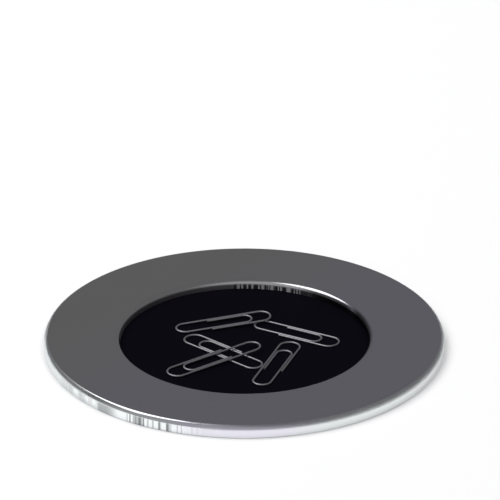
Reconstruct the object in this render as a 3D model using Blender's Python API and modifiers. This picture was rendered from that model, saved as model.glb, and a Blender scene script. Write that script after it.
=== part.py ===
"""Round magnetic dish for pins and clips: a metal rim around a shallow well, a magnet stack under the
floor, a soft pad to stand on, and wire clips lying in the well. Metres, +Z up, standing on Z = 0."""

import math

import bmesh
import bpy
from mathutils import Matrix

MM = 0.001

# Rim: radii and heights in millimetres from the dish's axis and the table.
RIM_RADIUS = 64.5
RIM_TOP = 4.3
EDGE_ROUND = 1.6  # top edge of the well
RIM_ROUND = 2.1  # top edge of the outer wall, which meets the flat top at a crease
CREASE_DEG = 30.0
FOOT_ROUND = 0.3  # outer wall's lower edge
SKIRT_BOTTOM = 0.08
SKIRT_INNER_RADIUS = 61.0
CHANNEL_CEILING = 2.4
LAND_OUTER_RADIUS = 46.0
LAND_BOTTOM = 1.22
RABBET_RADIUS = 42.0
LIP_BOTTOM = 1.42
WELL_RADIUS = 40.0
RIM_STEPS = 128
ROUND_STEPS = 5
FOOT_STEPS = 3
FLAT_STEPS = 96  # for the discs and plates under the well

# Stack under the well, from the floor down. Faces that touch are REST_GAP apart.
REST_GAP = 0.02
FLOOR_RADIUS = 41.9
FLOOR_TOP = 1.40
FLOOR_BOTTOM = 1.14
CARRIER_RADIUS = 41.8
CARRIER_TOP = 1.12
CARRIER_BOTTOM = 0.60
MAGNET_RADIUS = 5.0
MAGNET_CHAMFER = 0.1
MAGNET_TOP = 1.10
MAGNET_RING_RADIUS = 24.0
MAGNETS_IN_RING = 6
POCKET_RADIUS = 5.15
POCKET_SIDES = 36

# Base plate: a flat centre that steps up to a flange under the rim's land and bosses.
PLATE_THICKNESS = 0.30
PLATE_BOTTOM = 0.28
PLATE_CENTRE_RADIUS = 43.2
PLATE_STEP_RUN = 0.6
PLATE_WALL = 0.3
FLANGE_BOTTOM = 0.90
PLATE_RADIUS = 60.6

# Anti-slip pad under the flange.
PAD_TOP = 0.88
PAD_INNER_RADIUS = 44.9
PAD_OUTER_RADIUS = 60.2
PAD_CHAMFER = 0.3

# Screws, their holes and the rim's bosses.
SCREWS = 4
SCREW_RING_RADIUS = 53.5
FIRST_SCREW_DEG = 45.0
SHANK_RADIUS = 0.98
SHANK_TOP = 3.10
SHANK_CHAMFER = 0.23
HEAD_RADIUS = 1.8
HEAD_BOTTOM = 0.42
HEAD_CHAMFER = 0.2
RECESS_LENGTH = 2.0
RECESS_WIDTH = 0.42
RECESS_DEPTH = 0.22
TAPPED_RADIUS = 1.03
TAPPED_TOP = 3.3
BOSS_RADIUS = 2.8
PLATE_HOLE_RADIUS = 1.12
PAD_HOLE_RADIUS = 2.2
HOLE_SIDES = 32
SEAM_MERGE = 0.005  # a turned mesh closes on itself within this
CUT_PAST = 0.5  # how far a cutter runs past the face it opens

# Wire clip, flat on its side: two outer bends and an inner one.
WIRE_RADIUS = 0.34
CLIP_WIDTH = 7.42
WIRE_PITCH = 0.84  # between the centres of the two wires that lie side by side
INNER_BEND_INSET = 6.3
WIRE_END_SHARE = 0.65  # of the length, from the wide bend to each end of the wire
BEND_STEPS = 12

# Name: centre X, centre Y, heading of the wide bend in degrees, length, lift of the wide and narrow end.
CLIPS = {
    "clip_1": (-6.7, 14.1, 17.0, 32.0, 0.9, 0.0),
    "clip_2": (16.8, 6.7, -28.5, 30.9, 0.0, 0.0),
    "clip_3": (-9.9, -12.5, -145.5, 35.2, 0.0, 1.3),
    "clip_4": (-6.6, -6.0, 137.8, 32.6, 0.0, 0.0),
    "clip_5": (10.4, -14.7, 71.0, 32.7, 0.0, 0.0),
}

# Name: base colour, metallic, roughness.
FINISHES = {
    "satin_metal": ((0.12, 0.12, 0.13, 1.0), 1.0, 0.35),
    "floor_black": ((0.004, 0.004, 0.006, 1.0), 0.0, 0.4),
    "carrier_plastic": ((0.02, 0.02, 0.02, 1.0), 0.0, 0.6),
    "magnet_nickel": ((0.62, 0.60, 0.56, 1.0), 1.0, 0.25),
    "plate_steel": ((0.42, 0.43, 0.45, 1.0), 1.0, 0.4),
    "screw_steel": ((0.35, 0.35, 0.36, 1.0), 1.0, 0.3),
    "pad_rubber": ((0.03, 0.03, 0.03, 1.0), 0.0, 0.9),
    "clip_wire": ((0.60, 0.60, 0.62, 1.0), 1.0, 0.3),
}


def clear_scene():
    for obj in list(bpy.data.objects):
        bpy.data.objects.remove(obj)


def new_collection(name):
    made = bpy.data.collections.new(name)
    bpy.context.scene.collection.children.link(made)
    return made


def finish(name, node):
    """A material of this finish for one node."""
    colour, metallic, roughness = FINISHES[name]
    made = bpy.data.materials.new(f"{node}_{name}")
    made.use_nodes = True
    shader = made.node_tree.nodes["Principled BSDF"]
    shader.inputs["Base Color"].default_value = colour
    shader.inputs["Metallic"].default_value = metallic
    shader.inputs["Roughness"].default_value = roughness
    made.diffuse_color = colour
    return made


def add_node(collection, name, data, finish_name):
    made = bpy.data.objects.new(name, data)
    collection.objects.link(made)
    if finish_name:
        made.data.materials.append(finish(finish_name, name))
    return made


def arc(centre_r, centre_z, radius, from_deg, to_deg, steps):
    """Points along an arc, both ends included."""
    points = []
    for i in range(steps + 1):
        angle = math.radians(from_deg + (to_deg - from_deg) * i / steps)
        points.append((centre_r + radius * math.cos(angle), centre_z + radius * math.sin(angle)))
    return points


def turned(collection, name, profile, closed, finish_name, steps):
    """A turned piece from (radius, height) points that run down its outer side."""
    mesh = bpy.data.meshes.new(name)
    edges = [(i, i + 1) for i in range(len(profile) - 1)]
    if closed:
        edges.append((len(profile) - 1, 0))
    mesh.from_pydata([(r * MM, 0.0, z * MM) for r, z in profile], edges, [])
    made = add_node(collection, name, mesh, finish_name)
    screw = made.modifiers.new("Turn", "SCREW")
    screw.angle = 2 * math.pi
    screw.steps = screw.render_steps = steps
    screw.use_merge_vertices = True
    screw.merge_threshold = SEAM_MERGE * MM
    screw.use_smooth_shade = True
    return made


def ring_places(count, radius, first_deg):
    places = []
    for i in range(count):
        angle = math.radians(first_deg + 360.0 * i / count)
        places.append((radius * math.cos(angle), radius * math.sin(angle)))
    return places


def cylinders(collection, name, places, radius, bottom, top, sides):
    """One helper mesh of upright cylinders."""
    shape = bmesh.new()
    for x, y in places:
        at = Matrix.Translation((x * MM, y * MM, (bottom + top) / 2 * MM))
        bmesh.ops.create_cone(
            shape, cap_ends=True, segments=sides, radius1=radius * MM, radius2=radius * MM,
            depth=(top - bottom) * MM, matrix=at,
        )
    return helper_of(collection, name, shape)


def helper_of(collection, name, shape):
    mesh = bpy.data.meshes.new(name)
    shape.to_mesh(mesh)
    shape.free()
    made = add_node(collection, name, mesh, None)
    made.hide_render = True
    made.display_type = "WIRE"
    return made


def combine(piece, helper, operation):
    boolean = piece.modifiers.new(helper.name, "BOOLEAN")
    boolean.operation = operation
    boolean.solver = "EXACT"
    boolean.object = helper


def rim_profile():
    rim_round_z = RIM_TOP - RIM_ROUND * math.cos(math.radians(CREASE_DEG))
    foot_r = RIM_RADIUS - FOOT_ROUND
    profile = arc(RIM_RADIUS - RIM_ROUND, rim_round_z, RIM_ROUND, 90 - CREASE_DEG, 0, ROUND_STEPS)
    profile += arc(foot_r, SKIRT_BOTTOM + FOOT_ROUND, FOOT_ROUND, 0, -90, FOOT_STEPS)
    profile += [
        (SKIRT_INNER_RADIUS, SKIRT_BOTTOM),
        (SKIRT_INNER_RADIUS, CHANNEL_CEILING),
        (LAND_OUTER_RADIUS, CHANNEL_CEILING),
        (LAND_OUTER_RADIUS, LAND_BOTTOM),
        (RABBET_RADIUS, LAND_BOTTOM),
        (RABBET_RADIUS, LIP_BOTTOM),
        (WELL_RADIUS, LIP_BOTTOM),
    ]
    profile += arc(WELL_RADIUS + EDGE_ROUND, RIM_TOP - EDGE_ROUND, EDGE_ROUND, 180, 90, ROUND_STEPS)
    return profile


def build_rim(parts, cutters, screw_places):
    rim = turned(parts, "rim_ring", rim_profile(), True, "satin_metal", RIM_STEPS)
    bosses = cylinders(
        cutters, "boss_shapes", screw_places, BOSS_RADIUS, LAND_BOTTOM, CHANNEL_CEILING + CUT_PAST, HOLE_SIDES
    )
    holes = cylinders(
        cutters, "tapped_holes", screw_places, TAPPED_RADIUS, LAND_BOTTOM - CUT_PAST, TAPPED_TOP, HOLE_SIDES
    )
    combine(rim, bosses, "UNION")
    combine(rim, holes, "DIFFERENCE")


def disc_profile(radius, bottom, top):
    return [(0.0, top), (radius, top), (radius, bottom), (0.0, bottom)]


def build_stack(parts, cutters):
    floor = disc_profile(FLOOR_RADIUS, FLOOR_BOTTOM, FLOOR_TOP)
    turned(parts, "floor_disc", floor, False, "floor_black", FLAT_STEPS)
    carrier = turned(
        parts, "magnet_carrier", disc_profile(CARRIER_RADIUS, CARRIER_BOTTOM, CARRIER_TOP), False,
        "carrier_plastic", FLAT_STEPS,
    )
    places = [(0.0, 0.0)] + ring_places(MAGNETS_IN_RING, MAGNET_RING_RADIUS, 0.0)
    pockets = cylinders(
        cutters, "magnet_pockets", places, POCKET_RADIUS, CARRIER_BOTTOM - CUT_PAST, CARRIER_TOP + CUT_PAST,
        POCKET_SIDES,
    )
    combine(carrier, pockets, "DIFFERENCE")
    inner = MAGNET_RADIUS - MAGNET_CHAMFER
    profile = [
        (0.0, MAGNET_TOP), (inner, MAGNET_TOP), (MAGNET_RADIUS, MAGNET_TOP - MAGNET_CHAMFER),
        (MAGNET_RADIUS, CARRIER_BOTTOM + MAGNET_CHAMFER), (inner, CARRIER_BOTTOM), (0.0, CARRIER_BOTTOM),
    ]
    for number, (x, y) in enumerate(places, 1):
        magnet = turned(parts, f"magnet_{number}", profile, False, "magnet_nickel", POCKET_SIDES)
        magnet.location = (x * MM, y * MM, 0.0)


def build_base(parts, cutters, screw_places):
    plate_top = PLATE_BOTTOM + PLATE_THICKNESS
    flange_top = FLANGE_BOTTOM + PLATE_THICKNESS
    step_outer = PLATE_CENTRE_RADIUS + PLATE_STEP_RUN
    profile = [
        (0.0, plate_top), (PLATE_CENTRE_RADIUS - PLATE_WALL, plate_top),
        (step_outer - PLATE_WALL, flange_top), (PLATE_RADIUS, flange_top), (PLATE_RADIUS, FLANGE_BOTTOM),
        (step_outer, FLANGE_BOTTOM), (PLATE_CENTRE_RADIUS, PLATE_BOTTOM), (0.0, PLATE_BOTTOM),
    ]
    plate = turned(parts, "base_plate", profile, False, "plate_steel", FLAT_STEPS)
    plate_holes = cylinders(
        cutters, "plate_holes", screw_places, PLATE_HOLE_RADIUS, FLANGE_BOTTOM - CUT_PAST,
        flange_top + CUT_PAST, HOLE_SIDES,
    )
    combine(plate, plate_holes, "DIFFERENCE")
    profile = [
        (PAD_INNER_RADIUS, PAD_TOP), (PAD_OUTER_RADIUS, PAD_TOP), (PAD_OUTER_RADIUS, PAD_CHAMFER),
        (PAD_OUTER_RADIUS - PAD_CHAMFER, 0.0), (PAD_INNER_RADIUS + PAD_CHAMFER, 0.0),
        (PAD_INNER_RADIUS, PAD_CHAMFER),
    ]
    pad = turned(parts, "anti_slip_pad", profile, True, "pad_rubber", FLAT_STEPS)
    pad_holes = cylinders(
        cutters, "pad_holes", screw_places, PAD_HOLE_RADIUS, -CUT_PAST, PAD_TOP + CUT_PAST, HOLE_SIDES
    )
    combine(pad, pad_holes, "DIFFERENCE")


def recess_shape(cutters, name, x, y):
    """A cross-shaped recess in the head of the screw at this place."""
    made = []
    for turn in (0.0, math.pi / 2):
        shape = bmesh.new()
        height = RECESS_DEPTH + CUT_PAST
        middle = HEAD_BOTTOM + RECESS_DEPTH - height / 2
        size = Matrix.Diagonal((RECESS_LENGTH * MM, RECESS_WIDTH * MM, height * MM, 1.0))
        at = Matrix.Translation((x * MM, y * MM, middle * MM))
        bmesh.ops.create_cube(shape, size=1.0, matrix=at @ Matrix.Rotation(turn, 4, "Z") @ size)
        made.append(helper_of(cutters, f"{name}_recess_{len(made) + 1}", shape))
    return made


def build_screws(parts, cutters, screw_places):
    head_top = PAD_TOP
    profile = [
        (0.0, SHANK_TOP), (SHANK_RADIUS - SHANK_CHAMFER, SHANK_TOP),
        (SHANK_RADIUS, SHANK_TOP - SHANK_CHAMFER), (SHANK_RADIUS, head_top), (HEAD_RADIUS, head_top),
        (HEAD_RADIUS, HEAD_BOTTOM + HEAD_CHAMFER), (HEAD_RADIUS - HEAD_CHAMFER, HEAD_BOTTOM),
        (0.0, HEAD_BOTTOM),
    ]
    for number, (x, y) in enumerate(screw_places, 1):
        name = f"screw_{number}"
        screw = turned(parts, name, profile, False, "screw_steel", HOLE_SIDES)
        screw.location = (x * MM, y * MM, 0.0)
        for recess in recess_shape(cutters, name, x, y):
            combine(screw, recess, "DIFFERENCE")


def clip_path(length):
    """Centre line of the wire, the wide bend towards +X."""
    wide = CLIP_WIDTH / 2 - WIRE_RADIUS
    inner = wide - WIRE_PITCH
    narrow = (wide + inner) / 2
    side = (wide - inner) / 2
    wire_end = length / 2 - WIRE_END_SHARE * length
    path = [(wire_end, -wide)]
    path += arc(length / 2 - WIRE_RADIUS - wide, 0.0, wide, -90, 90, BEND_STEPS)
    path += arc(narrow + WIRE_RADIUS - length / 2, side, narrow, 90, 270, BEND_STEPS)
    path += arc(length / 2 - INNER_BEND_INSET - WIRE_RADIUS - inner, 0.0, inner, -90, 90, BEND_STEPS)
    path.append((wire_end, inner))
    return path


def build_clip(parts, name, x, y, heading, length, lift_wide, lift_narrow):
    curve = bpy.data.curves.new(name, "CURVE")
    curve.dimensions = "3D"
    curve.bevel_depth = WIRE_RADIUS * MM
    curve.bevel_resolution = 2
    curve.use_fill_caps = True
    path = clip_path(length)
    spline = curve.splines.new("POLY")
    spline.points.add(len(path) - 1)
    for point, (along, across) in zip(spline.points, path):
        point.co = (along * MM, across * MM, 0.0, 1.0)
    spline.use_smooth = True
    clip = add_node(parts, name, curve, "clip_wire")
    height = FLOOR_TOP + REST_GAP + WIRE_RADIUS + (lift_wide + lift_narrow) / 2
    pitch = -math.asin((lift_wide - lift_narrow) / length)
    clip.matrix_world = (
        Matrix.Translation((x * MM, y * MM, height * MM))
        @ Matrix.Rotation(math.radians(heading), 4, "Z")
        @ Matrix.Rotation(pitch, 4, "Y")
    )


def build():
    clear_scene()
    parts = new_collection("magnetic_pin_dish")
    cutters = new_collection("cutters")
    cutters.hide_render = True
    screw_places = ring_places(SCREWS, SCREW_RING_RADIUS, FIRST_SCREW_DEG)
    build_rim(parts, cutters, screw_places)
    build_stack(parts, cutters)
    build_base(parts, cutters, screw_places)
    build_screws(parts, cutters, screw_places)
    for name, place in CLIPS.items():
        build_clip(parts, name, *place)


build()
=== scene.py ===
import math
from collections import namedtuple

import bpy
from mathutils import Matrix, Vector


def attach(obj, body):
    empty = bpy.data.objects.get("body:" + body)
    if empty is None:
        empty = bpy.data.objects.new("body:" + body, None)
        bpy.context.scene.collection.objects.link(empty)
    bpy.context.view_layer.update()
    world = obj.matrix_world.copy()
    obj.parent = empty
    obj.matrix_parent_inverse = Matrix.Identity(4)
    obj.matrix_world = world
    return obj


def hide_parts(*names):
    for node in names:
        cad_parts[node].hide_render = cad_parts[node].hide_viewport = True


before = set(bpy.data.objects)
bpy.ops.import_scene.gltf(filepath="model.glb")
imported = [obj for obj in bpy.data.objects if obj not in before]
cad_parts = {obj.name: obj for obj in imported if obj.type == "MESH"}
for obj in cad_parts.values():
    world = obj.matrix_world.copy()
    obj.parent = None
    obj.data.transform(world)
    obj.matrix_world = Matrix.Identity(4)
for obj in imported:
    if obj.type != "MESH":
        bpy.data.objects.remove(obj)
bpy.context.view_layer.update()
MM = 0.001

# Sizes in millimetres, as in the CAD.
RIM_RADIUS = 64.5
RIM_TOP = 4.3
EDGE_ROUND = 1.6
RIM_ROUND = 2.1
CREASE_DEG = 30.0
FOOT_ROUND = 0.3
SKIRT_BOTTOM = 0.08
SKIRT_INNER_RADIUS = 61.0
CHANNEL_CEILING = 2.4
LAND_OUTER_RADIUS = 46.0
LAND_BOTTOM = 1.22
RABBET_RADIUS = 42.0
LIP_BOTTOM = 1.42
WELL_RADIUS = 40.0
FLOOR_TOP = 1.40
REST_GAP = 0.02
BOSS_RADIUS = 2.8
TAPPED_RADIUS = 1.03
SCREWS = 4
SCREW_RING_RADIUS = 53.5
FIRST_SCREW_DEG = 45.0
MAGNETS = 7
WIRE_RADIUS = 0.34
CLIP_WIDTH = 7.42
WIRE_PITCH = 0.84
INNER_BEND_INSET = 6.3
WIRE_END_SHARE = 0.65

# Name: centre X, centre Y, heading of the wide bend in degrees, length, lift of the wide and narrow end.
CLIPS = {
    "clip_1": (-6.7, 14.1, 17.0, 32.0, 0.9, 0.0),
    "clip_2": (16.8, 6.7, -28.5, 30.9, 0.0, 0.0),
    "clip_3": (-9.9, -12.5, -145.5, 35.2, 0.0, 1.3),
    "clip_4": (-6.6, -6.0, 137.8, 32.6, 0.0, 0.0),
    "clip_5": (10.4, -14.7, 71.0, 32.7, 0.0, 0.0),
}

# Steps of the finished meshes, finer than the CAD's.
RIM_STEPS = 400
ROUND_STEPS = 20
FOOT_STEPS = 6
BOSS_SIDES = 32
BEND_STEPS = 28
WIRE_BEVEL = 6
WIRE_TIP = 0.3  # first and last stretch of the wire, in millimetres
BOSS_OVERLAP = 0.1  # how far a boss runs up into the rim, in millimetres
SHARP_DEG = 25.0

# Camera, in metres: far off, so that the view is nearly parallel.
CAMERA_ELEVATION_DEG = 26.4
CAMERA_DISTANCE = 7.0
CAMERA_CLIP_END = 20.0
SENSOR_WIDTH = 36.0
VIEW_WIDTH = 0.1609  # at the dish
AIM_RIGHT = 0.00183
AIM_UP = 0.0277

# Room: radiance behind and to the right, and at the front left, and the direction in which it grows.
ROOM_BACK = 0.130
ROOM_FRONT = 0.36
ROOM_LEAN = (-0.42, -0.91, 0.0)
ROOM_RAMP = (0.15, 0.75)
ROOM_TINT = (1.0, 0.99, 1.05, 1.0)

# Softbox overhead at the left: radiance, width, depth and place in metres.
SOFTBOX = 1.6
SOFTBOX_WIDTH = 0.75
SOFTBOX_DEPTH = 1.0
SOFTBOX_PLACE = (-0.68, 0.20, 1.0)

# Broad sun that stands in for the lamps above, and the table under it.
SUN = 2.62
SUN_SPREAD_DEG = 95.0
SUN_TILT_DEG = (6.0, -4.0, 0.0)
TABLE_HALF = 4.0
TABLE_WHITE = 0.86

# Angles round the rim, in degrees from +X: where each feature fades in, and where it fades out.
# The first six ranges place painted reflections, dark and bright upright streaks and spots drawn into the
# walls' colour. Over the cool front range the outer wall keeps the top's cool tint instead of the cyan
# one, a painted reflection tint. The two shaded ranges place painted shade on the inner edge and on the
# inner wall's foot.
DARK_REFLECTIONS = ((-126.0, -124.8), (-114.0, -100.0))
DARK_REFLECTION_PATCH = ((-137.2, -136.2), (-133.5, -129.0))
FAINT_REFLECTIONS = ((-160.0, -152.0), (-143.0, -139.0))
BRIGHT_LEAD = ((-131.0, -128.0), (-126.2, -125.4))
BRIGHT_SPOTS = ((-151.0, -149.0), (-138.2, -137.2))
BACK_REFLECTIONS = ((52.0, 70.0), (94.0, 96.0))
COOL_FRONT = ((-114.0, -106.0), (-80.0, -66.0))
CRISP_EDGE = ((-146.0, -136.0), (-110.0, -98.0))
SHADED_EDGE = ((-80.0, -60.0), (24.0, 36.0))
SHADED_FOOT = ((24.0, 36.0), (54.0, 66.0))
SOFTER_RIGHT = (-85.0, -50.0)
DULLER_BACK = (40.0, 62.0)

# Radii and heights on the rim, in millimetres: where each feature fades in or out.
WALL_SPLIT_RADIUS = 55.0  # between the inner wall and the outer one
SATIN_TOP = ((41.4, 41.9), (63.25, 63.45))
SATIN_HEIGHT = (RIM_TOP - 0.05, RIM_TOP - 0.01)
SHADED_EDGE_RADII = (WELL_RADIUS + 0.3, WELL_RADIUS + EDGE_ROUND)
SHADED_FOOT_RADII = (WELL_RADIUS + 0.2, WELL_RADIUS + 0.6)
# Heights of the painted reflection streaks, of the bright painted reflection spots, and of the painted
# lightening at the outer foot.
REFLECTIONS_HEIGHT = (2.5, 3.4)
SPOTS_HEIGHT = (0.9, 1.6)
FOOT_HEIGHT = (0.25, 0.75)
SOFT_EDGE_HEIGHT = (2.3, 2.9)
DULL_WALL_HEIGHT = (2.9, 4.2)
EDGE_ROUGHNESS = 0.13

# Tints of the metals and the floor.
NEUTRAL = (1.0, 1.0, 1.0)
WARM = (1.0, 1.0, 0.96)
COOL = (1.0, 0.98, 1.07)
# The cyan tint is a painted reflection tint on the outer wall; the pale and dark tints colour the painted
# reflection streaks and the painted lightening at the outer foot.
CYAN_REFLECTION_TINT = (0.965, 1.0, 1.0)
PALE = (0.96, 1.0, 1.0)
DARK_STREAK_TINT = (0.93, 1.0, 1.02)
WIRE_TINT = (1.0, 1.0, 1.04)
PLATE_TINT = (1.0, 1.0, 1.03)
SCREW_TINT = (1.0, 1.0, 1.02)
NICKEL_TINT = (1.0, 0.97, 0.92)

FINE_BUMP = 0.00001  # metres
RUBBER_BUMP = 0.00004

Place = namedtuple("Place", "position x y z radius angle")


# ---------------------------------------------------------------- camera
def add_camera():
    elevation = math.radians(CAMERA_ELEVATION_DEG)
    back = Vector((0.0, -math.cos(elevation), math.sin(elevation)))
    up = Vector((0.0, math.sin(elevation), math.cos(elevation)))
    right = up.cross(back)
    aim = Vector((0.0, 0.0, RIM_TOP * MM)) + right * AIM_RIGHT + up * AIM_UP
    data = bpy.data.cameras.new("camera")
    data.sensor_width = SENSOR_WIDTH
    data.lens = SENSOR_WIDTH * CAMERA_DISTANCE / VIEW_WIDTH
    data.clip_end = CAMERA_CLIP_END
    camera = bpy.data.objects.new("camera", data)
    bpy.context.scene.collection.objects.link(camera)
    turn = Matrix((right, up, back)).transposed().to_4x4()
    camera.matrix_world = Matrix.Translation(aim + back * CAMERA_DISTANCE) @ turn
    bpy.context.scene.camera = camera


# ---------------------------------------------------------------- materials
class Nodes:
    """Short calls for building one material's nodes."""

    def __init__(self, name):
        self.material = bpy.data.materials.new(name)
        self.material.use_nodes = True
        self.tree = self.material.node_tree
        self.shader = self.tree.nodes["Principled BSDF"]

    def add(self, kind, **settings):
        node = self.tree.nodes.new(kind)
        for key, value in settings.items():
            setattr(node, key, value)
        return node

    def put(self, socket, value):
        """Link a socket to another node's output, or set it to a constant."""
        if isinstance(value, bpy.types.NodeSocket):
            self.tree.links.new(value, socket)
        else:
            socket.default_value = value

    def set(self, name, value):
        self.put(self.shader.inputs[name], value)

    def math(self, operation, *values):
        node = self.add("ShaderNodeMath", operation=operation)
        for socket, value in zip(node.inputs, values):
            self.put(socket, value)
        return node.outputs[0]

    def times(self, *factors):
        product = factors[0]
        for factor in factors[1:]:
            product = self.math("MULTIPLY", product, factor)
        return product

    def largest(self, *values):
        found = values[0]
        for value in values[1:]:
            found = self.math("MAXIMUM", found, value)
        return found

    def rest_of(self, share):
        return self.math("SUBTRACT", 1.0, share)

    def span(self, value, from_low, from_high, to_low, to_high):
        """Smooth step from one range to another, held at both ends."""
        node = self.add("ShaderNodeMapRange", interpolation_type="SMOOTHSTEP")
        names = ("Value", "From Min", "From Max", "To Min", "To Max")
        for name, number in zip(names, (value, from_low, from_high, to_low, to_high)):
            self.put(node.inputs[name], number)
        return node.outputs["Result"]

    def window(self, value, limits, peak=1.0):
        """0, then peak between the two fades that limits gives, then 0 again."""
        fade_in, fade_out = limits
        return self.times(self.span(value, *fade_in, 0.0, peak), self.span(value, *fade_out, 1.0, 0.0))

    def noise(self, vector, scale, detail=2.0, roughness=0.5):
        return self.noise_node("3D", "Vector", vector, scale, detail, roughness)

    def noise_along(self, value, scale, detail=2.0, roughness=0.5):
        """Noise that changes along one number only."""
        return self.noise_node("1D", "W", value, scale, detail, roughness)

    def noise_node(self, dimensions, input_name, value, scale, detail, roughness):
        node = self.add("ShaderNodeTexNoise", noise_dimensions=dimensions)
        self.put(node.inputs[input_name], value)
        self.put(node.inputs["Scale"], scale)
        self.put(node.inputs["Detail"], detail)
        self.put(node.inputs["Roughness"], roughness)
        return node.outputs["Fac"]

    def stripes(self, degrees, spacing, jitter):
        """0 at the middle of each upright stripe and 1 halfway to the next, unevenly spaced."""
        shift = self.times(self.noise_along(degrees, 0.23), jitter)
        step = self.math("FRACT", self.math("ADD", self.math("DIVIDE", degrees, spacing), shift))
        return self.times(self.math("ABSOLUTE", self.math("SUBTRACT", step, 0.5)), 2.0)

    def mix(self, factor, a, b):
        """Blend of two colours."""
        node = self.add("ShaderNodeMix", data_type="RGBA")
        for index, value in ((0, factor), (6, a), (7, b)):
            self.put(node.inputs[index], value)
        return node.outputs[2]

    def blend(self, factor, a, b):
        """Blend of two numbers."""
        node = self.add("ShaderNodeMix")
        for index, value in ((0, factor), (2, a), (3, b)):
            self.put(node.inputs[index], value)
        return node.outputs[0]

    def combine(self, x, y, z):
        node = self.add("ShaderNodeCombineXYZ")
        for socket, value in zip(node.inputs, (x, y, z)):
            self.put(socket, value)
        return node.outputs[0]

    def bump(self, height, strength, distance=FINE_BUMP):
        node = self.add("ShaderNodeBump")
        self.put(node.inputs["Strength"], strength)
        self.put(node.inputs["Distance"], distance)
        self.put(node.inputs["Height"], height)
        self.set("Normal", node.outputs["Normal"])

    def place(self):
        """Object position in millimetres, distance from the dish's axis, and angle round it in radians."""
        scaled = self.add("ShaderNodeVectorMath", operation="SCALE")
        self.put(scaled.inputs[0], self.add("ShaderNodeTexCoord").outputs["Object"])
        self.put(scaled.inputs["Scale"], 1 / MM)
        split = self.add("ShaderNodeSeparateXYZ")
        self.put(split.inputs[0], scaled.outputs[0])
        x, y, z = split.outputs
        radius = self.math("SQRT", self.math("ADD", self.times(x, x), self.times(y, y)))
        return Place(scaled.outputs[0], x, y, z, radius, self.math("ARCTAN2", y, x))


def rgb(value, tint=NEUTRAL):
    return (value * tint[0], value * tint[1], value * tint[2], 1.0)


def outer_reflections(n, z, degrees):
    """Front left of the outer wall: painted reflections, upright streaks and spots where it is darker and
    where it is brighter.
    """
    uneven = n.noise_along(degrees, 0.31, detail=1.0)
    thin = n.span(n.stripes(degrees, 2.3, 2.6), 0.12, 0.5, 1.0, 0.0)
    reflected = n.window(degrees, DARK_REFLECTIONS)
    lines = n.times(thin, reflected, n.span(uneven, 0.35, 0.6, 0.45, 1.0))
    patch = n.window(degrees, DARK_REFLECTION_PATCH, peak=0.62)
    faint = n.times(n.window(degrees, FAINT_REFLECTIONS, peak=0.28), n.span(uneven, 0.4, 0.6, 0.2, 1.0))
    blocks = n.times(reflected, n.rest_of(thin))
    lead = n.window(degrees, BRIGHT_LEAD)
    spots = n.times(
        n.span(n.stripes(degrees, 4.6, 0.9), 0.35, 0.6, 1.0, 0.0),
        n.window(degrees, BRIGHT_SPOTS),
        n.span(z, *SPOTS_HEIGHT, 0.0, 1.0),
    )
    return n.largest(lines, patch, faint), n.largest(blocks, lead, spots)


def back_reflections(n, degrees):
    """Back of the inner wall: painted reflections, bright bars and the dark gaps between them."""
    broad = n.span(n.stripes(degrees, 2.4, 2.2), 0.3, 0.7, 0.0, 1.0)
    reflecting = n.window(degrees, BACK_REFLECTIONS)
    return n.times(broad, reflecting), n.times(n.rest_of(broad), reflecting)


def polished(n, at, degrees, on_top, inside):
    """Base colour of the metal under the painted streaks: warm to cool across the top and the inner wall,
    and on the outer wall a cyan tint that turns cool at the front, a painted reflection tint.
    """
    cloud = n.noise(at.position, 0.05, detail=3.0)
    warm = n.mix(cloud, rgb(0.755, WARM), rgb(0.785, WARM))
    cool = n.mix(cloud, rgb(0.765, COOL), rgb(0.795, COOL))
    satin = n.mix(n.span(n.math("SUBTRACT", at.x, at.y), -65.0, 20.0, 0.0, 1.0), warm, cool)
    clear = n.mix(cloud, rgb(0.775, CYAN_REFLECTION_TINT), rgb(0.80, CYAN_REFLECTION_TINT))
    return n.mix(n.largest(on_top, n.window(degrees, COOL_FRONT), inside), clear, satin)


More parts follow.
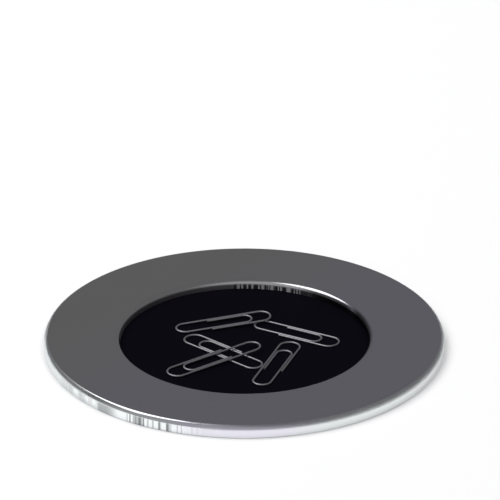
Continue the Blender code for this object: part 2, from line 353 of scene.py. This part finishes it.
def rim_metal():
    """Polished metal with a finely turned satin top. Painted reflections are drawn as upright streaks on
    parts of both walls, painted light brightens the outer foot, and painted shade darkens parts of the
    inner edge and of the inner wall's foot.
    """
    n = Nodes("rim_metal")
    at = n.place()
    degrees = n.times(at.angle, math.degrees(1.0))
    outside = n.math("GREATER_THAN", at.radius, WALL_SPLIT_RADIUS)
    inside = n.rest_of(outside)
    on_wall = n.span(at.z, *REFLECTIONS_HEIGHT, 1.0, 0.0)
    on_top = n.times(n.window(at.radius, SATIN_TOP), n.span(at.z, *SATIN_HEIGHT, 0.0, 1.0))
    # Painted reflections: dark and bright upright streaks where the polished walls reflect the room. The
    # outer foot gets painted light over the shade it reflects near the table, and the two shaded shares
    # are painted shade.
    dark, bright = (n.times(share, outside, on_wall) for share in outer_reflections(n, at.z, degrees))
    bars, gaps = (n.times(share, inside, on_wall) for share in back_reflections(n, degrees))
    foot = n.times(outside, n.span(at.z, *FOOT_HEIGHT, 1.0, 0.0))
    shaded_edge = n.times(n.window(degrees, SHADED_EDGE), n.span(at.radius, *SHADED_EDGE_RADII, 1.0, 0.0))
    shaded_foot = n.times(n.window(degrees, SHADED_FOOT), n.span(at.radius, *SHADED_FOOT_RADII, 0.9, 0.0))
    colour = polished(n, at, degrees, on_top, inside)
    # Mix in, in turn: the painted light at the bright streaks and the outer foot, the painted dark
    # reflections, the painted bright bars and dark gaps, and the painted shade inside.
    for share, paint in (
        (n.largest(bright, foot), rgb(0.95, PALE)),
        (dark, rgb(0.24, DARK_STREAK_TINT)),
        (bars, rgb(0.95)),
        (gaps, rgb(0.21)),
        (n.times(inside, n.largest(shaded_edge, shaded_foot)), rgb(0.08)),
    ):
        colour = n.mix(share, colour, paint)
    n.set("Base Color", colour)
    n.set("Metallic", 1.0)

    # Turned lines on the top: fine steps in radius that wander a little round the ring.
    rings = n.noise(n.combine(n.times(at.radius, 9.0), n.times(at.angle, 1.2), 0.0), 1.0, detail=3.0)
    not_crisp = n.rest_of(n.window(degrees, CRISP_EDGE))
    soft_edge = n.times(outside, n.span(at.z, *SOFT_EDGE_HEIGHT, 0.0, 1.0), not_crisp)
    softness = n.span(degrees, *SOFTER_RIGHT, 0.2, 0.4)
    dull = n.times(
        inside,
        n.span(at.z, *DULL_WALL_HEIGHT, 1.0, 0.0),
        n.span(degrees, *DULLER_BACK, 0.35, 1.0),
    )
    off_top = EDGE_ROUGHNESS
    for share, added in ((soft_edge, softness), (dull, 0.28), (bars, 0.45)):
        off_top = n.math("ADD", off_top, n.times(share, added))
    n.set("Roughness", n.blend(on_top, off_top, n.span(rings, 0.3, 0.7, 0.16, 0.24)))
    n.bump(n.times(rings, on_top), 0.1)
    return n.material


def floor_black():
    n = Nodes("floor_black")
    position = n.place().position
    cloud = n.noise(position, 0.09, detail=4.0)
    n.set("Base Color", n.mix(cloud, rgb(0.0022, (1.0, 0.84, 1.7)), rgb(0.0030, (1.0, 0.84, 1.6))))
    n.set("Roughness", n.span(cloud, 0.3, 0.7, 0.5, 0.6))
    n.set("IOR", 1.06)
    n.bump(n.noise(position, 9.0), 0.2)
    return n.material


def wire_metal():
    n = Nodes("clip_wire_metal")
    position = n.place().position
    drawn = n.noise(position, 1.4, detail=4.0, roughness=0.6)
    n.set("Base Color", n.mix(drawn, rgb(0.54, WIRE_TINT), rgb(0.67, WIRE_TINT)))
    n.set("Metallic", 1.0)
    n.set("Roughness", n.span(drawn, 0.3, 0.7, 0.38, 0.48))
    n.bump(n.noise(position, 6.0), 0.15)
    return n.material


def plain_metal(name, low, high, tint, smooth, rough, scale):
    n = Nodes(name)
    position = n.place().position
    cloud = n.noise(position, scale, detail=4.0)
    n.set("Base Color", n.mix(cloud, rgb(low, tint), rgb(high, tint)))
    n.set("Metallic", 1.0)
    n.set("Roughness", n.span(cloud, 0.3, 0.7, smooth, rough))
    n.bump(n.noise(position, scale * 12), 0.2)
    return n.material


def plate_steel():
    """Rolled sheet: faint lines all one way."""
    n = Nodes("plate_steel")
    at = n.place()
    along = n.combine(n.times(at.x, 0.08), n.times(at.y, 4.0), at.z)
    lines = n.noise(along, 1.0, detail=4.0, roughness=0.6)
    n.set("Base Color", n.mix(lines, rgb(0.40, PLATE_TINT), rgb(0.50, PLATE_TINT)))
    n.set("Metallic", 1.0)
    n.set("Roughness", n.span(lines, 0.3, 0.7, 0.34, 0.46))
    n.bump(lines, 0.2)
    return n.material


def matt(name, low, high, smooth, rough, scale, grain_scale, grain_height):
    n = Nodes(name)
    position = n.place().position
    cloud = n.noise(position, scale, detail=4.0)
    n.set("Base Color", n.mix(cloud, rgb(low), rgb(high)))
    n.set("Roughness", n.span(cloud, 0.3, 0.7, smooth, rough))
    n.bump(n.noise(position, grain_scale, detail=3.0), 0.4, grain_height)
    return n.material


def stage_white():
    n = Nodes("stage_white")
    n.set("Base Color", rgb(TABLE_WHITE))
    n.set("Roughness", 0.9)
    n.set("Specular IOR Level", 0.0)
    return n.material


def dress(node, material):
    """Give a CAD node that is shown as it is its material."""
    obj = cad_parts[node]
    obj.data.materials.clear()
    obj.data.materials.append(material)


def dress_cad_nodes():
    dress("floor_disc", floor_black())
    dress("magnet_carrier", matt("carrier_black", 0.018, 0.026, 0.5, 0.65, 0.3, 8.0, FINE_BUMP))
    dress("base_plate", plate_steel())
    dress("anti_slip_pad", matt("pad_rubber", 0.024, 0.036, 0.8, 0.95, 0.2, 3.0, RUBBER_BUMP))
    nickel = plain_metal("magnet_nickel", 0.56, 0.66, NICKEL_TINT, 0.18, 0.28, 0.4)
    for number in range(1, MAGNETS + 1):
        dress(f"magnet_{number}", nickel)
    steel = plain_metal("screw_steel", 0.32, 0.42, SCREW_TINT, 0.25, 0.38, 0.8)
    for number in range(1, SCREWS + 1):
        dress(f"screw_{number}", steel)


# ---------------------------------------------------------------- pieces
def arc(centre_r, centre_z, radius, from_deg, to_deg, steps):
    """Points along an arc, both ends included."""
    points = []
    for i in range(steps + 1):
        angle = math.radians(from_deg + (to_deg - from_deg) * i / steps)
        points.append((centre_r + radius * math.cos(angle), centre_z + radius * math.sin(angle)))
    return points


def rim_profile():
    """Outline of the rim's section, down its outer side and up its inner one."""
    rim_round_z = RIM_TOP - RIM_ROUND * math.cos(math.radians(CREASE_DEG))
    foot_r = RIM_RADIUS - FOOT_ROUND
    profile = arc(RIM_RADIUS - RIM_ROUND, rim_round_z, RIM_ROUND, 90 - CREASE_DEG, 0, ROUND_STEPS)
    profile += arc(foot_r, SKIRT_BOTTOM + FOOT_ROUND, FOOT_ROUND, 0, -90, FOOT_STEPS)
    profile += [
        (SKIRT_INNER_RADIUS, SKIRT_BOTTOM),
        (SKIRT_INNER_RADIUS, CHANNEL_CEILING),
        (LAND_OUTER_RADIUS, CHANNEL_CEILING),
        (LAND_OUTER_RADIUS, LAND_BOTTOM),
        (RABBET_RADIUS, LAND_BOTTOM),
        (RABBET_RADIUS, LIP_BOTTOM),
        (WELL_RADIUS, LIP_BOTTOM),
    ]
    profile += arc(WELL_RADIUS + EDGE_ROUND, RIM_TOP - EDGE_ROUND, EDGE_ROUND, 180, 90, ROUND_STEPS)
    return profile


def turned(profile, steps, centre=(0.0, 0.0)):
    """Vertices and faces of a closed outline turned about an upright axis."""
    vertices, faces = [], []
    count = len(profile)
    for i in range(steps):
        angle = 2 * math.pi * i / steps
        for r, z in profile:
            x = centre[0] + r * math.cos(angle)
            y = centre[1] + r * math.sin(angle)
            vertices.append((x * MM, y * MM, z * MM))
        here, after = i * count, (i + 1) % steps * count
        for j in range(count):
            following = (j + 1) % count
            faces.append((here + j, here + following, after + following, after + j))
    return vertices, faces


def mesh_object(name, vertices, faces, material):
    mesh = bpy.data.meshes.new(name)
    mesh.from_pydata(vertices, [], faces)
    mesh.materials.append(material)
    mesh.shade_smooth()
    mesh.set_sharp_from_angle(angle=math.radians(SHARP_DEG))
    made = bpy.data.objects.new(name, mesh)
    bpy.context.scene.collection.objects.link(made)
    return made


def build_rim(material):
    vertices, faces = turned(rim_profile(), RIM_STEPS)
    boss_top = CHANNEL_CEILING + BOSS_OVERLAP
    boss = [
        (BOSS_RADIUS, boss_top),
        (BOSS_RADIUS, LAND_BOTTOM),
        (TAPPED_RADIUS, LAND_BOTTOM),
        (TAPPED_RADIUS, boss_top),
    ]
    for number in range(SCREWS):
        angle = math.radians(FIRST_SCREW_DEG + 360.0 * number / SCREWS)
        centre = (SCREW_RING_RADIUS * math.cos(angle), SCREW_RING_RADIUS * math.sin(angle))
        boss_vertices, boss_faces = turned(boss, BOSS_SIDES, centre)
        start = len(vertices)
        vertices += boss_vertices
        faces += [tuple(start + corner for corner in face) for face in boss_faces]
    rim = mesh_object("rim_finished", vertices, faces, material)
    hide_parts("rim_ring")
    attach(rim, "dish")


def clip_path(length):
    """Centre line of the wire, the wide bend towards +X."""
    wide = CLIP_WIDTH / 2 - WIRE_RADIUS
    inner = wide - WIRE_PITCH
    narrow = (wide + inner) / 2
    side = (wide - inner) / 2
    wire_end = length / 2 - WIRE_END_SHARE * length
    path = [(wire_end, -wide), (wire_end + WIRE_TIP, -wide)]
    path += arc(length / 2 - WIRE_RADIUS - wide, 0.0, wide, -90, 90, BEND_STEPS)
    path += arc(narrow + WIRE_RADIUS - length / 2, side, narrow, 90, 270, BEND_STEPS)
    path += arc(length / 2 - INNER_BEND_INSET - WIRE_RADIUS - inner, 0.0, inner, -90, 90, BEND_STEPS)
    path += [(wire_end + WIRE_TIP, inner), (wire_end, inner)]
    return path


def wire_curve(name, path, material):
    curve = bpy.data.curves.new(name, "CURVE")
    curve.dimensions = "3D"
    curve.bevel_depth = WIRE_RADIUS * MM
    curve.bevel_resolution = WIRE_BEVEL
    curve.use_fill_caps = True
    spline = curve.splines.new("POLY")
    spline.points.add(len(path) - 1)
    for point, (along, across) in zip(spline.points, path):
        point.co = (along * MM, across * MM, 0.0, 1.0)
    spline.use_smooth = True
    curve.materials.append(material)
    return curve


def build_clip(name, material, x, y, heading, length, lift_wide, lift_narrow):
    clip = bpy.data.objects.new(name + "_wire", wire_curve(name + "_wire", clip_path(length), material))
    bpy.context.scene.collection.objects.link(clip)
    height = FLOOR_TOP + REST_GAP + WIRE_RADIUS + (lift_wide + lift_narrow) / 2
    pitch = -math.asin((lift_wide - lift_narrow) / length)
    clip.matrix_world = (
        Matrix.Translation((x * MM, y * MM, height * MM))
        @ Matrix.Rotation(math.radians(heading), 4, "Z")
        @ Matrix.Rotation(pitch, 4, "Y")
    )
    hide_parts(name)
    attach(clip, name + "_body")


# ---------------------------------------------------------------- stage and light
def add_stage():
    corners = [(-1, -1), (1, -1), (1, 1), (-1, 1)]
    vertices = [(x * TABLE_HALF, y * TABLE_HALF, 0.0) for x, y in corners]
    floor = mesh_object("stage_floor", vertices, [(0, 1, 2, 3)], stage_white())


def add_world():
    """Grey room, lighter towards the front left."""
    world = bpy.data.worlds.new("studio")
    bpy.context.scene.world = world
    world.use_nodes = True
    tree = world.node_tree
    lean = tree.nodes.new("ShaderNodeVectorMath")
    lean.operation = "DOT_PRODUCT"
    lean.inputs[1].default_value = ROOM_LEAN
    tree.links.new(tree.nodes.new("ShaderNodeTexCoord").outputs["Generated"], lean.inputs[0])
    ramp = tree.nodes.new("ShaderNodeMapRange")
    ramp.interpolation_type = "SMOOTHSTEP"
    tree.links.new(lean.outputs["Value"], ramp.inputs["Value"])
    names = ("From Min", "From Max", "To Min", "To Max")
    for name, number in zip(names, (*ROOM_RAMP, ROOM_BACK, ROOM_FRONT)):
        ramp.inputs[name].default_value = number
    background = tree.nodes["Background"]
    tree.links.new(ramp.outputs["Result"], background.inputs["Strength"])
    background.inputs["Color"].default_value = ROOM_TINT


def add_lamp(name, data):
    lamp = bpy.data.objects.new(name, data)
    bpy.context.scene.collection.objects.link(lamp)
    return lamp


def add_lights():
    sun = bpy.data.lights.new("overhead", "SUN")
    sun.energy = SUN
    sun.angle = math.radians(SUN_SPREAD_DEG)
    lamp = add_lamp("overhead", sun)
    lamp.rotation_euler = [math.radians(tilt) for tilt in SUN_TILT_DEG]
    lamp.visible_glossy = False

    soft = bpy.data.lights.new("softbox", "AREA")
    soft.shape = "RECTANGLE"
    soft.size = SOFTBOX_WIDTH
    soft.size_y = SOFTBOX_DEPTH
    soft.energy = SOFTBOX * math.pi * soft.size * soft.size_y
    add_lamp("softbox", soft).location = SOFTBOX_PLACE


def main():
    add_camera()
    build_rim(rim_metal())
    wire = wire_metal()
    for name, place in CLIPS.items():
        build_clip(name, wire, *place)
    dress_cad_nodes()
    add_stage()
    add_world()
    add_lights()
    bpy.context.scene.view_settings.view_transform = "Standard"


main()
